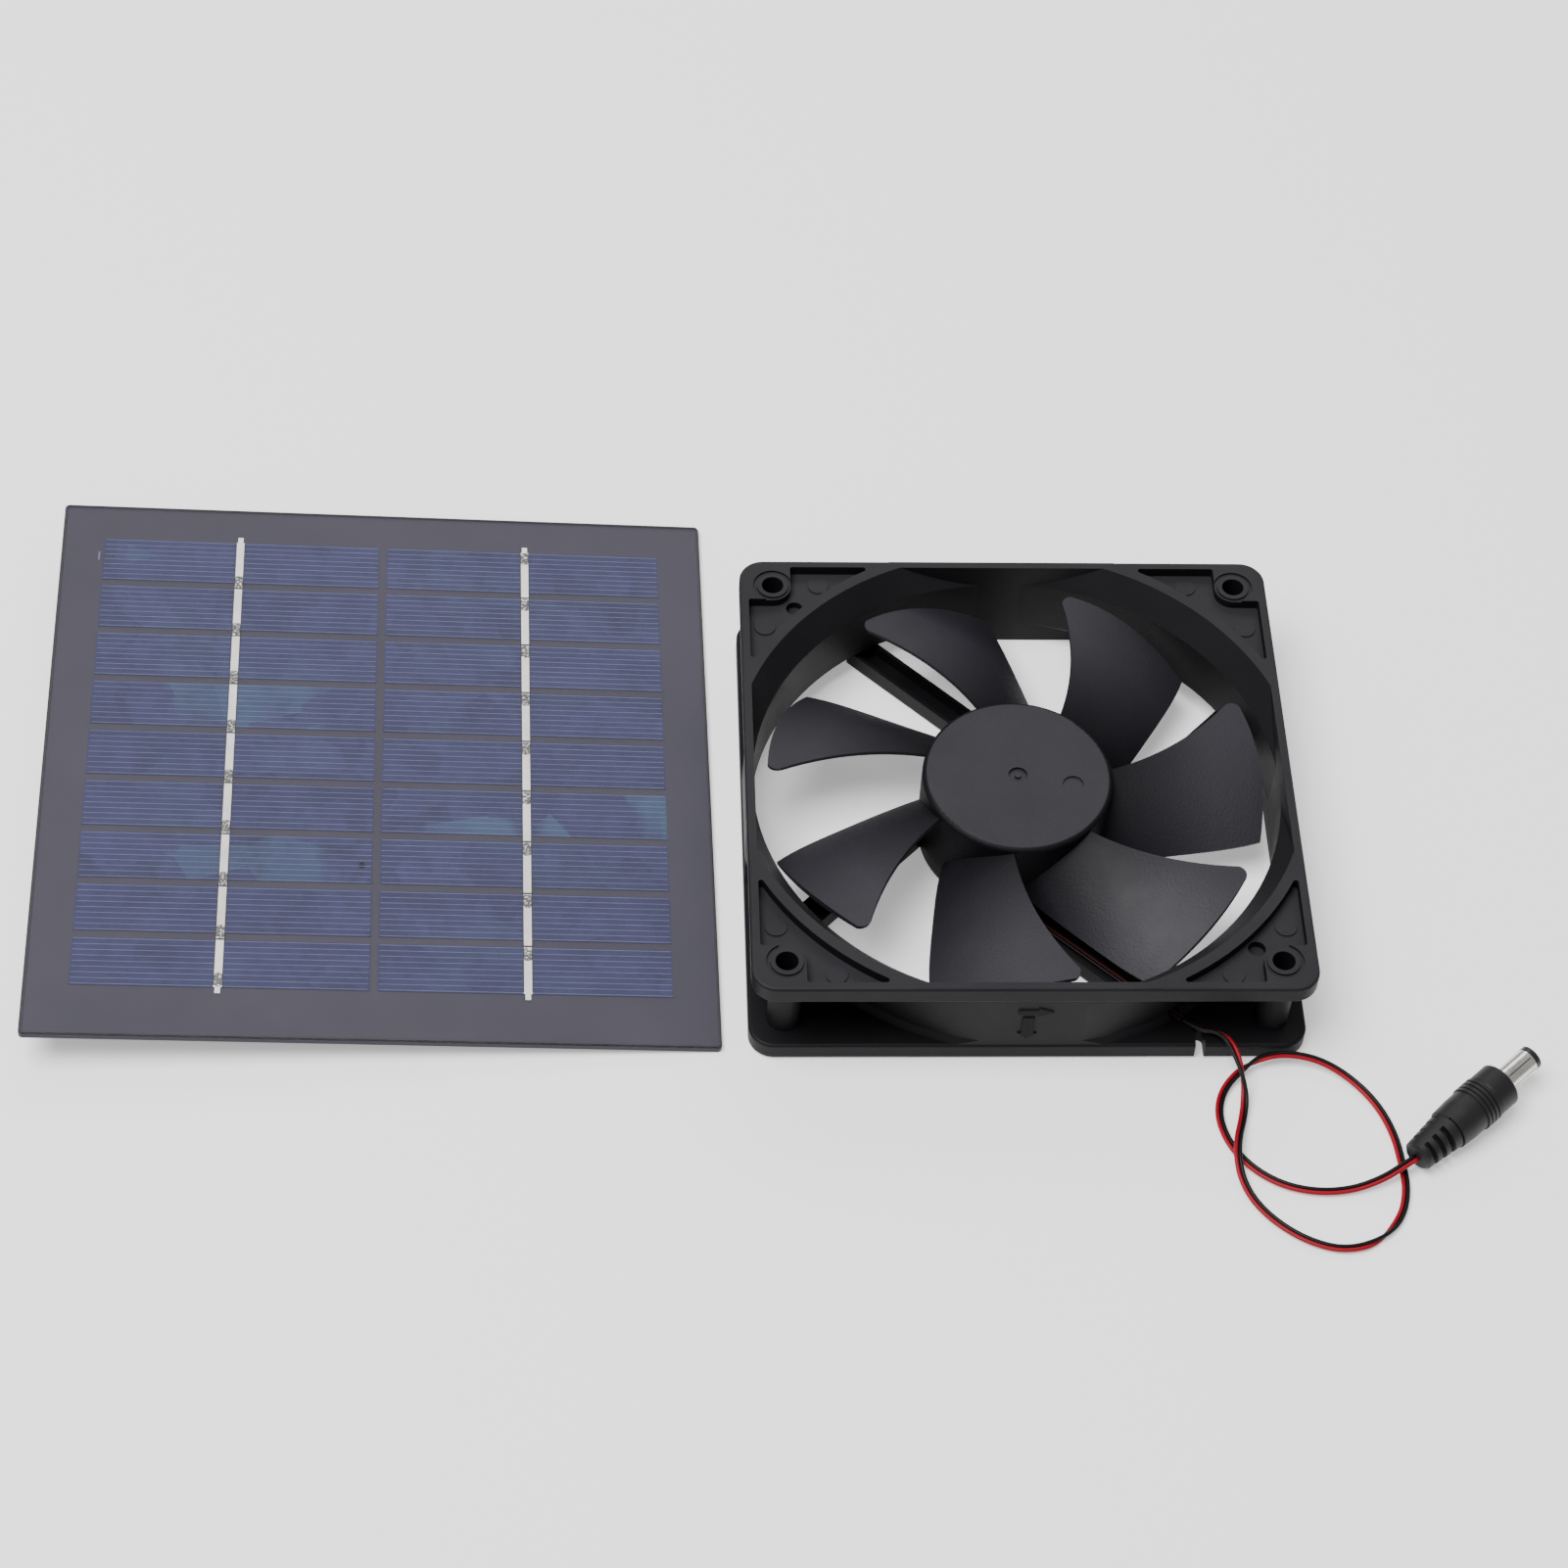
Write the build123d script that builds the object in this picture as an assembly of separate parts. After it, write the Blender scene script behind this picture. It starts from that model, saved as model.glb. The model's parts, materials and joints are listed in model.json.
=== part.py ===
"""Solar attic fan: a 120 mm axial fan, its lead and plug, and the solar panel that drives it.

Millimetres, +Z up.  The origin is on the fan's axis at its exhaust face, which is also
the surface that everything rests on.  The intake faces +Z and the lead leaves at the front, -Y.
"""
import os
from math import atan2, cos, degrees, pi, radians, sin, sqrt, tan

from build123d import *

os.makedirs("parts", exist_ok=True)

# ---------------------------------------------------------------- driving dimensions
# housing
FAN_SIZE = 120.0
FAN_DEPTH = 25.0
HOLE_PITCH = 105.0
HOLE_R = 2.45
CORNER_R = 5.5
EDGE_ROUND = 0.7
FLANGE_TOP = 4.7
FLANGE_BOTTOM = 4.5
SIDE_WALL = 2.0
THROAT_R = 58.2
FLARE_R = 62.5
FLARE_DEPTH = 6.0
BARREL_WALL = 2.5
BARREL_INSET = 0.3
POST_R = 3.6
RING_R = 3.55
POCKET_DEPTH = 2.5
POCKET_RIM_R = 65.0
POCKET_ROUND = 0.6
LAND_EDGE = 48.4
LAND_ROUND = 4.1
LAND_DROP = 0.5
SPARE_HOLE_R = 1.9
SPARE_HOLE_AT = 47.6
SPARE_FLOOR = 0.4
PIN_MARK_R = 2.35
PIN_MARK_RISE = 0.3
PIN_MARK_AT = (42.0, 54.4)
NOTCH_X = 36.7
NOTCH_W = 2.1
NOTCH_DEPTH = 3.4

# motor base and struts
FLOOR_Z = 0.3
FLOOR_TOP = 1.4
BASE_R = 20.5
BASE_RIM = 1.3
BASE_RIM_TOP = 4.2
BOSS_R = 5.9
STRUT_COUNT = 4
STRUT_OFFSET = 15.5
STRUT_W = 6.5
STRUT_WALL = 0.9
STRUT_TOP = 4.4
STRUT_START = 11.0
LEAD_STRUT_ANGLE = -44.2
SLOT_W = 2.6
SLOT_TOP = 7.2

# bearing and shaft
TUBE_R = 4.6
TUBE_BORE = 3.6
TUBE_Z = (0.8, 17.0)
CAP_TOP = 2.0
THRUST_R = 3.0
THRUST_TOP = 2.4
BEARING_BORE = 1.53
BEARING_Z = (4.0, 16.5)
SHAFT_R = 1.5
SHAFT_Z = (2.5, 20.9)
GROOVE_R = 1.2
GROOVE_Z = (3.0, 3.4)
RING_CLIP_R = 2.6

# stator
POLES = 4
CORE_Z = (7.5, 13.5)
INSULATOR_T = 1.2
CORE_HUB_R = 7.6
ARM_W = 4.0
INSULATOR_ARM_W = 4.4
SHOE_R = (13.2, 15.6)
SHOE_SPAN = 78.0
COIL_R = (7.9, 12.0)
COIL_W = 10.4
COIL_WALL = 1.1
BOARD_Z = (3.4, 4.6)
BOARD_R = 17.2
BOARD_BORE = 4.8
PIN_R = 0.3
PIN_AT = 6.4
PIN_Z = (3.0, 7.1)
LABEL_R = 17.0
LABEL_T = 0.15

# impeller
HUB_R = 21.0
HUB_Z = (5.0, 22.0)
HUB_ROUND = 1.2
HUB_WALL = 1.6
HUB_ROOF = 2.2
HUB_BOSS_R = 5.0
HUB_BOSS_Z = 17.7
GATE_R = 2.1
GATE_DEPTH = 0.6
GATE_PIP_R = 0.7
HUB_MARK_R = 2.3
HUB_MARK_DEPTH = 0.4
HUB_MARK_AT = (12.0, -2.6)
YOKE_WALL = 0.9
YOKE_Z = (5.6, 19.8)
MAGNET_T = 2.2
MAGNET_Z = (5.8, 16.0)
BLADE_COUNT = 7
BLADE_TIP_R = 55.0
BLADE_PHASE = 0.0
BLADE_T = 1.5
BLADE_EDGE_T = 0.7
BLADE_CAMBER = 0.07
BLADE_CORNER = 2.2
LEAD_ANGLES = (7.5, 16.2, 2.4, -1.3)
TRAIL_ANGLES = (-36.9, 58.1, -52.2, 21.3)
LEAD_Z = (20.5, 21.0)
TRAIL_Z = (7.1, 9.9)

# lead, and plug of the 5.5 mm by 2.1 mm kind
CORE_D = 0.78
CORE_GAP = 0.80
LEAD_D = 1.6
LEAD_EXIT_T = 61.3
LEAD_EXIT_Z = 5.6
LEAD_SHIFT = 1.2
PLUG_AT = (79.6, -88.0, 3.65)
PLUG_AZIMUTH = 40.4
PLUG_RISE = 5.3
PLUG_BODY = 26.4
PLUG_REAR_R = 3.45
PLUG_BAND_R = 5.25
PLUG_COLLAR_R = 5.05
RELIEF_ROLL = 19.0
RELIEF_SPINE = 1.25
RELIEF_SLOTS = {
    -1: [(2.2, 1.1, 2.1), (4.6, 1.2, 2.2), (7.0, 1.3, 2.4), (9.75, 0.35, 4.0)],
    1: [(2.5, 0.9, 2.1), (4.6, 0.9, 2.2), (6.75, 0.9, 2.4), (8.7, 0.8, 3.0)],
}
BARREL_R = 2.75
BARREL_BORE = 2.35
BARREL_LEN = 9.6
TIP_LEN = 0.9
CONTACT_R = 1.05

# solar panel
PANEL_W = 148.0
PANEL_D = 150.0
PANEL_AT = (-140.9, 15.3)
PANEL_YAW = 1.0
PANEL_TILT = 3.69
PANEL_CORNER = 1.0
BOARD_T = 1.2
CELL_T = 0.2
RIBBON_T = 0.1
FILL_T = 0.4
FILM_T = 0.2
CELL_ROWS = 9
CELL_COLUMNS = 2
CELL_W = 63.3
CELL_PITCH_X = 65.0
CELL_PITCH_Y = 14.29
CELL_GAP_Y = 1.9
FIELD_AT = (-0.2, 1.4)
RIBBON_W = 1.9
RIBBON_NECK = 1.2
RIBBON_OUT = 0.45
RIBBON_JOINT = 0.4
RIBBON_TAB = 1.6
BACK_RIBBON_T = 0.15
BACK_RIBBON_AT = 10.0
BOX_INSET = 1.5
BOX_D = 40.0
BOX_H = 8.2
BOX_WALL = 1.2
BOX_PLATE = 0.8
BOX_LID = 0.9
SOCKET_BORE = 2.82
SOCKET_L = 13.0
SOCKET_W = 9.0
SOCKET_DEPTH = 9.5

# the lead's route, from where it leaves the housing to the plug
LEAD_ROUTE = [
    (36.6, -57.1, 6.0),
    (39.7, -57.6, 6.5),
    (42.3, -59.9, 7.0),
    (43.8, -63.9, 6.5),
    (45.0, -68.0, 4.4),
    (45.3, -72.2, 1.9),
    (44.3, -77.0, 1.3),
    (42.7, -82.1, 2.7),
    (42.0, -87.0, 2.9),
    (42.6, -91.7, 1.4),
    (44.8, -97.0, 0.8),
    (49.1, -102.3, 0.8),
    (55.0, -106.6, 0.8),
    (62.0, -108.9, 0.8),
    (69.5, -107.2, 0.8),
    (75.2, -101.3, 0.8),
    (77.3, -94.3, 0.8),
    (77.1, -87.7, 0.8),
    (76.4, -80.4, 0.8),
    (73.9, -73.0, 0.8),
    (69.3, -66.8, 1.2),
    (63.2, -62.7, 2.4),
    (56.6, -61.1, 3.0),
    (50.3, -61.5, 2.8),
    (44.9, -64.6, 1.9),
    (41.0, -68.9, 0.9),
    (39.4, -74.4, 0.8),
    (40.1, -80.0, 0.8),
    (42.5, -85.3, 0.8),
    (46.8, -90.1, 0.8),
    (52.5, -93.4, 0.8),
    (59.2, -94.7, 0.8),
    (66.1, -94.1, 0.9),
    (72.2, -92.2, 2.0),
    (76.2, -90.1, 3.1),
]
RUN_SHARE = 0.45

HALF = FAN_SIZE / 2
BORE_HALF = HALF - SIDE_WALL
HOLE_AT = HOLE_PITCH / 2
CORNERS = [(sx, sy) for sx in (-1, 1) for sy in (-1, 1)]


# ---------------------------------------------------------------- helpers
def save(name, shape):
    """Write one node."""
    export_step(shape, f"parts/{name}.step")


def tube(outer_r, inner_r, z0, z1):
    """A ring about Z."""
    return rod(outer_r, z0, z1) - rod(inner_r, z0 - 1, z1 + 1)


def rod(r, z0, z1, at=(0.0, 0.0)):
    """A cylinder parallel to Z."""
    return Pos(at[0], at[1], (z0 + z1) / 2) * Cylinder(r, z1 - z0)


def block(x0, x1, y0, y1, z0, z1):
    """A box between two corners."""
    return Pos((x0 + x1) / 2, (y0 + y1) / 2, (z0 + z1) / 2) * Box(x1 - x0, y1 - y0, z1 - z0)


def turned(points):
    """The solid made by turning a closed (radius, z) outline about Z."""
    outline = Polyline(*[(r, 0, z) for r, z in points], close=True)
    return revolve(make_face(outline), Axis.Z)


def polar(r, angle, z=0.0):
    """A point from its radius, its angle in degrees and its height."""
    return (r * cos(radians(angle)), r * sin(radians(angle)), z)


def bend_radii(points):
    """The largest radius that each corner's two runs allow."""
    places = [Vector(*p) for p in points]
    radii = []
    for before, here, after in zip(places, places[1:], places[2:]):
        run = min((here - before).length, (after - here).length)
        turn = (here - before).get_angle(after - here)
        radii.append(RUN_SHARE * run / tan(radians(turn) / 2))
    return radii


def pipe(points, radii, r):
    """A round wire along straight runs and tangent arcs."""
    path = FilletPolyline(*points, radius=radii)
    start = Plane(origin=points[0], z_dir=Vector(*points[1]) - Vector(*points[0]))
    return sweep(start * Circle(r), path=path)


# ---------------------------------------------------------------- housing
def flange(z0, z1):
    """One square flange with rounded corners and edges."""
    slab = extrude(Pos(0, 0, z0) * RectangleRounded(FAN_SIZE, FAN_SIZE, CORNER_R), z1 - z0)
    outer = slab.edges().filter_by(Plane.XY)
    return fillet(outer, EDGE_ROUND)


def duct_outline(gap):
    """The duct's profile, or the barrel round it when gap is the wall."""
    throat = THROAT_R + gap
    mouth = FLARE_R + gap
    return [
        (0, 0),
        (mouth, 0),
        (throat, FLARE_DEPTH),
        (throat, FAN_DEPTH - FLARE_DEPTH),
        (mouth, FAN_DEPTH),
        (0, FAN_DEPTH),
    ]


def air_duct():
    """The air's way through the housing, flared at both ends and flattened by the sides."""
    over = 1.0
    duct = turned(duct_outline(0.0))
    duct += rod(FLARE_R, -over, 0) + rod(FLARE_R, FAN_DEPTH, FAN_DEPTH + over)
    side = BORE_HALF
    return duct & block(-side, side, -side, side, -over, FAN_DEPTH + over)


def corner_pocket():
    """The recess of the corner at +X +Y, round the land of its screw hole."""
    floor = FAN_DEPTH - POCKET_DEPTH
    top = FAN_DEPTH + 1
    recess = block(0, BORE_HALF, 0, BORE_HALF, floor, top) - rod(POCKET_RIM_R, floor - 1, top + 1)
    far = HALF + LAND_ROUND
    middle = (LAND_EDGE + far) / 2
    size = far - LAND_EDGE
    land = Pos(middle, middle, floor - 1) * RectangleRounded(size, size, LAND_ROUND)
    recess -= extrude(land, POCKET_DEPTH + 3)
    return fillet(recess.edges().filter_by(Axis.Z), POCKET_ROUND)


def strut_frame(index):
    """The place and direction of a strut: X runs outward along it, Y to its left."""
    angle = LEAD_STRUT_ANGLE + index * 360 / STRUT_COUNT
    foot = polar(STRUT_OFFSET, angle - 90)
    return Plane(origin=foot, x_dir=Vector(*polar(1, angle)), z_dir=(0, 0, 1)).location


def on_lead_strut(t, side, z):
    """A point beside the middle of the strut that carries the leads."""
    place = strut_frame(0) * Pos(t, side, z)
    return tuple(place.position)


def strut():
    """A channel, open upward, from under the hub to the wall."""
    inner = STRUT_W / 2 - STRUT_WALL
    bar = block(STRUT_START, HALF, -STRUT_W / 2, STRUT_W / 2, FLOOR_Z, STRUT_TOP)
    groove = block(STRUT_START - 1, HALF + 1, -inner, inner, FLOOR_TOP, STRUT_TOP + 1)
    return bar - groove


def arrow(length, width, shaft_w, head):
    """A flat arrow along +X, centred on its length."""
    neck = length / 2 - head
    points = [
        (-length / 2, -shaft_w / 2),
        (neck, -shaft_w / 2),
        (neck, -width / 2),
        (length / 2, 0),
        (neck, width / 2),
        (neck, shaft_w / 2),
        (-length / 2, shaft_w / 2),
    ]
    return make_face(Polyline(*points, close=True))


def direction_marks():
    """Plain raised arrows on the front flat: the rotor's way round, and the air's."""
    front = Plane(origin=(0, -HALF + BARREL_INSET, 0), x_dir=(1, 0, 0), z_dir=(0, -1, 0))
    spin = extrude(front * Pos(0.3, 16.7) * arrow(7.6, 2.8, 1.3, 3.3), BARREL_INSET)
    flow = extrude(front * Pos(-1.1, 10.9) * Rot(0, 0, -90) * arrow(7.6, 4.2, 2.6, 2.1), BARREL_INSET)
    return [spin, flow]


def motor_base():
    """The disc that carries the motor, with its rim and the boss for the bearing tube."""
    disc = rod(BASE_R, FLOOR_Z, FLOOR_TOP)
    rim = tube(BASE_R, BASE_R - BASE_RIM, FLOOR_Z, BASE_RIM_TOP)
    boss = rod(BOSS_R, FLOOR_Z, BOARD_Z[0])
    return disc + rim + boss


def fan_frame():
    """The housing in one moulding: flanges, barrel, struts and motor base."""
    barrel_half = HALF - BARREL_INSET
    clip = block(-barrel_half, barrel_half, -barrel_half, barrel_half, 0, FAN_DEPTH)
    body = flange(0, FLANGE_BOTTOM) + flange(FAN_DEPTH - FLANGE_TOP, FAN_DEPTH)
    body += turned(duct_outline(BARREL_WALL)) & clip
    for sx, sy in CORNERS:
        body += rod(POST_R, 0, FAN_DEPTH, (sx * HOLE_AT, sy * HOLE_AT))
    body -= air_duct()

    inside = rod(FLARE_R + BARREL_WALL / 2, 0, FAN_DEPTH)
    side = BORE_HALF + SIDE_WALL / 2
    inside &= block(-side, side, -side, side, 0, FAN_DEPTH)
    for index in range(STRUT_COUNT):
        body += (strut_frame(index) * strut()) & inside
    body += motor_base()
    body -= tube(BASE_R - BASE_RIM, BOSS_R, FLOOR_TOP, FAN_DEPTH / 2)
    half_groove = STRUT_W / 2 - STRUT_WALL
    lead_way = block(0, BASE_R, -half_groove, half_groove, FLOOR_TOP, STRUT_TOP + 1)
    body -= strut_frame(0) * lead_way
    slot = block(THROAT_R - 8, HALF + 8, -SLOT_W / 2, SLOT_W / 2, FLANGE_BOTTOM, SLOT_TOP)
    body -= strut_frame(0) * slot
    body -= rod(TUBE_R, TUBE_Z[0], FAN_DEPTH)
    body -= rod(TUBE_BORE, 0, FAN_DEPTH)

    pocket = corner_pocket()
    for turn in range(4):
        body -= Rot(0, 0, 90 * turn) * pocket
    for sx, sy in CORNERS:
        hole = (sx * HOLE_AT, sy * HOLE_AT)
        dish = rod(LAND_ROUND + 0.3, FAN_DEPTH - LAND_DROP, FAN_DEPTH + 1, hole)
        body -= dish - rod(RING_R, 0, FAN_DEPTH + 2, hole)
        body -= rod(HOLE_R, -1, FAN_DEPTH + 1, hole)
        for mx, my in (PIN_MARK_AT, PIN_MARK_AT[::-1]):
            floor = FAN_DEPTH - POCKET_DEPTH
            body += rod(PIN_MARK_R, floor - PIN_MARK_RISE, floor + PIN_MARK_RISE, (sx * mx, sy * my))
    spare_floor = FAN_DEPTH - FLANGE_TOP + SPARE_FLOOR
    for sign in (-1, 1):
        spare_at = (sign * SPARE_HOLE_AT, -sign * SPARE_HOLE_AT)
        body -= rod(SPARE_HOLE_R, spare_floor, FAN_DEPTH, spare_at)

    notch = block(-NOTCH_W / 2, NOTCH_W / 2, 0, NOTCH_DEPTH, -1, FLANGE_BOTTOM + 0.1)
    notch += rod(NOTCH_W / 2, -1, FLANGE_BOTTOM + 0.1, (0, NOTCH_DEPTH))
    body -= Pos(NOTCH_X, -HALF, 0) * notch
    for mark in direction_marks():
        body += mark
    return body


# ---------------------------------------------------------------- motor
def spider(z0, z1, arm_w):
    """A hub with four arms, each ending in an arc-shaped shoe."""
    shape = rod(CORE_HUB_R, z0, z1)
    ring = tube(SHOE_R[1], SHOE_R[0], z0, z1)
    reach = 2 * SHOE_R[1]
    spread = reach * tan(radians(SHOE_SPAN / 2))
    triangle = make_face(Polyline((0, 0), (reach, spread), (reach, -spread), close=True))
    wedge = extrude(Pos(0, 0, z0) * triangle, z1 - z0)
    middle = (SHOE_R[0] + SHOE_R[1]) / 2
    for index in range(POLES):
        turn = Rot(0, 0, index * 360 / POLES)
        shape += turn * block(0, middle, -arm_w / 2, arm_w / 2, z0, z1)
        shape += turn * (ring & wedge)
    return shape - rod(TUBE_R, z0 - 1, z1 + 1)


def winding(index):
    """One coil round one arm."""
    low = CORE_Z[0] - INSULATOR_T
    high = CORE_Z[1] + INSULATOR_T
    outer = block(COIL_R[0], COIL_R[1], -COIL_W / 2, COIL_W / 2, low - COIL_WALL, high + COIL_WALL)
    outer = fillet(outer.edges().filter_by(Axis.X), COIL_WALL)
    half = INSULATOR_ARM_W / 2
    window = block(COIL_R[0] - 1, COIL_R[1] + 1, -half, half, low, high)
    return Rot(0, 0, index * 360 / POLES) * (outer - window)


def pin_places():
    """Where the four winding pins stand, between the arms."""
    return [polar(PIN_AT, 45 + index * 90)[:2] for index in range(POLES)]


def lead_holes():
    """Where the two leads pass up through the circuit board."""
    return [on_lead_strut(1.0, side * CORE_GAP / 2, 0) for side in (-1, 1)]


def circuit_board():
    """The ring-shaped board under the stator."""
    board = tube(BOARD_R, BOARD_BORE, *BOARD_Z)
    for x, y in pin_places():
        board -= rod(PIN_R, 0, FAN_DEPTH, (x, y))
    for x, y, _ in lead_holes():
        board -= rod(CORE_D / 2, 0, FAN_DEPTH, (x, y))
    return board


def chip(length, width, height, angle, r):
    """A small component on top of the board."""
    body = block(-length / 2, length / 2, -width / 2, width / 2, BOARD_Z[1], BOARD_Z[1] + height)
    return Rot(0, 0, angle) * Pos(r, 0, 0) * body


def make_motor():
    """Everything that stands still round the shaft."""
    bearing_tube = tube(TUBE_R, TUBE_BORE, *TUBE_Z)
    save("bearing_tube", bearing_tube)
    save("bearing_end_cap", rod(TUBE_BORE, TUBE_Z[0], CAP_TOP))
    save("thrust_plate", rod(THRUST_R, CAP_TOP, THRUST_TOP))
    save("sleeve_bearing", tube(TUBE_BORE, BEARING_BORE, *BEARING_Z))
    save("stator_core", spider(*CORE_Z, ARM_W))
    save("upper_insulator", spider(CORE_Z[1], CORE_Z[1] + INSULATOR_T, INSULATOR_ARM_W))
    lower = spider(CORE_Z[0] - INSULATOR_T, CORE_Z[0], INSULATOR_ARM_W)
    pins = []
    for x, y in pin_places():
        pin = rod(PIN_R, *PIN_Z, (x, y))
        lower -= pin
        pins.append(pin)
    save("lower_insulator", lower)
    save("winding_pins", Compound(children=pins))
    for index in range(POLES):
        save(f"winding_{index + 1}", winding(index))
    save("circuit_board", circuit_board())
    save("driver_chip", chip(3.0, 4.0, 1.2, 45, 12.6))
    save("capacitor", chip(1.3, 2.2, 1.1, 135, 13.4))
    save("diode", chip(1.5, 2.6, 1.0, 225, 10.6))
    save("base_label", rod(LABEL_R, FLOOR_Z - LABEL_T, FLOOR_Z))


# ---------------------------------------------------------------- rotor
def edge_point(angles, heights, share):
    """A point on a blade's leading or trailing edge, from its root (0) to its tip (1)."""
    r = HUB_R + (BLADE_TIP_R - HUB_R) * share
    angle = sum(term * share ** power for power, term in enumerate(angles))
    z = heights[0] + (heights[1] - heights[0]) * share
    return polar(r, angle, z)


def edge_at(angles, heights, x):
    """The (y, z) of an edge where it passes a given x, found by halving."""
    low, high = -0.4, 1.35
    for _ in range(40):
        middle = (low + high) / 2
        if edge_point(angles, heights, middle)[0] < x:
            low = middle
        else:
            high = middle
    point = edge_point(angles, heights, low)
    return point[1], point[2]


def blade_section(x):
    """The blade's cross-section at one x: a thin arched strip."""
    y0, z0 = edge_at(TRAIL_ANGLES, TRAIL_Z, x)
    y1, z1 = edge_at(LEAD_ANGLES, LEAD_Z, x)
    run, rise = y1 - y0, z1 - z0
    chord = sqrt(run ** 2 + rise ** 2)
    normal = (-rise / chord, run / chord)
    upper, lower = [], []
    steps = 6
    for step in range(steps + 1):
        share = step / steps
        arch = 4 * share * (1 - share)
        lift = BLADE_CAMBER * chord * arch
        half = (BLADE_EDGE_T + (BLADE_T - BLADE_EDGE_T) * arch) / 2
        for line, offset in ((upper, lift + half), (lower, lift - half)):
            line.append((x, y0 + run * share + normal[0] * offset, z0 + rise * share + normal[1] * offset))
    outline = [Spline(*upper), Line(upper[-1], lower[-1]), Spline(*lower[::-1]), Line(lower[0], upper[0])]
    return make_face(outline)


def blade():
    """One blade, from inside the hub's wall to the tip."""
    stations = [12.0, 20.0, 28.0, 36.0, 44.0, 50.0, 57.0]
    shape = loft([blade_section(x) for x in stations], ruled=False)
    ring = rod(BLADE_TIP_R, 0, FAN_DEPTH) - rod(HUB_R - HUB_WALL / 2, -1, FAN_DEPTH + 1)
    shape = shape & ring
    tip = edge_point(LEAD_ANGLES, LEAD_Z, 1.0)
    inner = edge_point(LEAD_ANGLES, LEAD_Z, 0.93)
    along = degrees(atan2(inner[1] - tip[1], inner[0] - tip[0]))
    across = degrees(atan2(tip[1], tip[0])) - 90
    return shape - corner_cutter(tip, along, across)


def corner_cutter(tip, along, across):
    """What rounding the corner at a blade's tip takes away, seen from above."""
    half = radians((across - along) % 360) / 2
    reach = BLADE_CORNER / tan(half)
    inward = along + degrees(half)
    middle = polar(BLADE_CORNER / sin(half), inward)
    spare = polar(-2.0, inward)
    a = polar(reach, along)
    b = polar(reach, across)
    far_a = (a[0] + spare[0], a[1] + spare[1])
    far_b = (b[0] + spare[0], b[1] + spare[1])
    outer = polar(-5.0, inward)
    around = make_face(Polyline(a[:2], middle[:2], b[:2], far_b, outer[:2], far_a, close=True))
    cutter = extrude(Pos(tip[0], tip[1], 0) * around, FAN_DEPTH)
    return cutter - rod(BLADE_CORNER, -1, FAN_DEPTH + 1, (tip[0] + middle[0], tip[1] + middle[1]))


def impeller():
    """The hub and its blades in one moulding."""
    hub = rod(HUB_R, *HUB_Z)
    hub = fillet(hub.edges().sort_by(Axis.Z)[-1], HUB_ROUND)
    one = blade()
    for index in range(BLADE_COUNT):
        hub += Rot(0, 0, BLADE_PHASE + index * 360 / BLADE_COUNT) * one
    roof = HUB_Z[1] - HUB_ROOF
    hub -= rod(HUB_R - HUB_WALL, HUB_Z[0] - 1, roof) - rod(HUB_BOSS_R, HUB_BOSS_Z, roof + 1)
    hub -= rod(SHAFT_R, 0, SHAFT_Z[1])
    top = HUB_Z[1]
    hub -= rod(GATE_R, top - GATE_DEPTH, top + 1) - rod(GATE_PIP_R, 0, top - 0.1)
    hub -= rod(HUB_MARK_R, top - HUB_MARK_DEPTH, top + 1, HUB_MARK_AT)
    return hub


def make_rotor():
    """Everything that turns."""
    save("impeller", impeller())
    yoke_r = HUB_R - HUB_WALL
    inner = yoke_r - YOKE_WALL
    yoke = rod(yoke_r, *YOKE_Z) - rod(inner, 0, YOKE_Z[1] - YOKE_WALL) - rod(HUB_BOSS_R, 0, FAN_DEPTH)
    save("rotor_yoke", yoke)
    save("rotor_magnet", tube(inner, inner - MAGNET_T, *MAGNET_Z))
    shaft = rod(SHAFT_R, *SHAFT_Z) - tube(SHAFT_R + 1, GROOVE_R, *GROOVE_Z)
    save("rotor_shaft", shaft)
    save("retaining_ring", tube(RING_CLIP_R, GROOVE_R, *GROOVE_Z))


# ---------------------------------------------------------------- lead and plug
def make_leads():
    """The two cores in the strut, and the twin lead from the housing to the plug."""
    low = FLOOR_TOP + CORE_D / 2 + 0.05
    for name, side in (("lead_red", 1), ("lead_black", -1)):
        offset = side * CORE_GAP / 2
        stops = [
            (1.0, offset, BOARD_Z[1] + 0.5),
            (1.0, offset, low),
            (47.0, offset + LEAD_SHIFT, low),
            (56.6, offset, LEAD_EXIT_Z),
            (LEAD_EXIT_T, offset, LEAD_EXIT_Z),
        ]
        points = [on_lead_strut(*stop) for stop in stops]
        save(name, pipe(points, [1.0, 6.0, 4.0], CORE_D / 2))

    route = [on_lead_strut(LEAD_EXIT_T, 0, LEAD_EXIT_Z), *LEAD_ROUTE, PLUG_AT]
    radii = bend_radii(route)
    cord = pipe(route, radii, LEAD_D / 2)
    length = cord.volume / (pi * (LEAD_D / 2) ** 2)
    print("lead_cord radii:", [round(r, 1) for r in radii])
    print(f"lead_cord length {length:.1f} mm, smallest radius {min(radii):.1f} mm")
    save("lead_cord", cord)


def plug_place():
    """The plug's own frame: Z runs from the lead's end to the tip."""
    flat = cos(radians(PLUG_RISE))
    axis = Vector(*polar(flat, PLUG_AZIMUTH, sin(radians(PLUG_RISE))))
    across = Vector(*polar(1, PLUG_AZIMUTH + 90))
    return Plane(origin=PLUG_AT, x_dir=across, z_dir=axis).location


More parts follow.
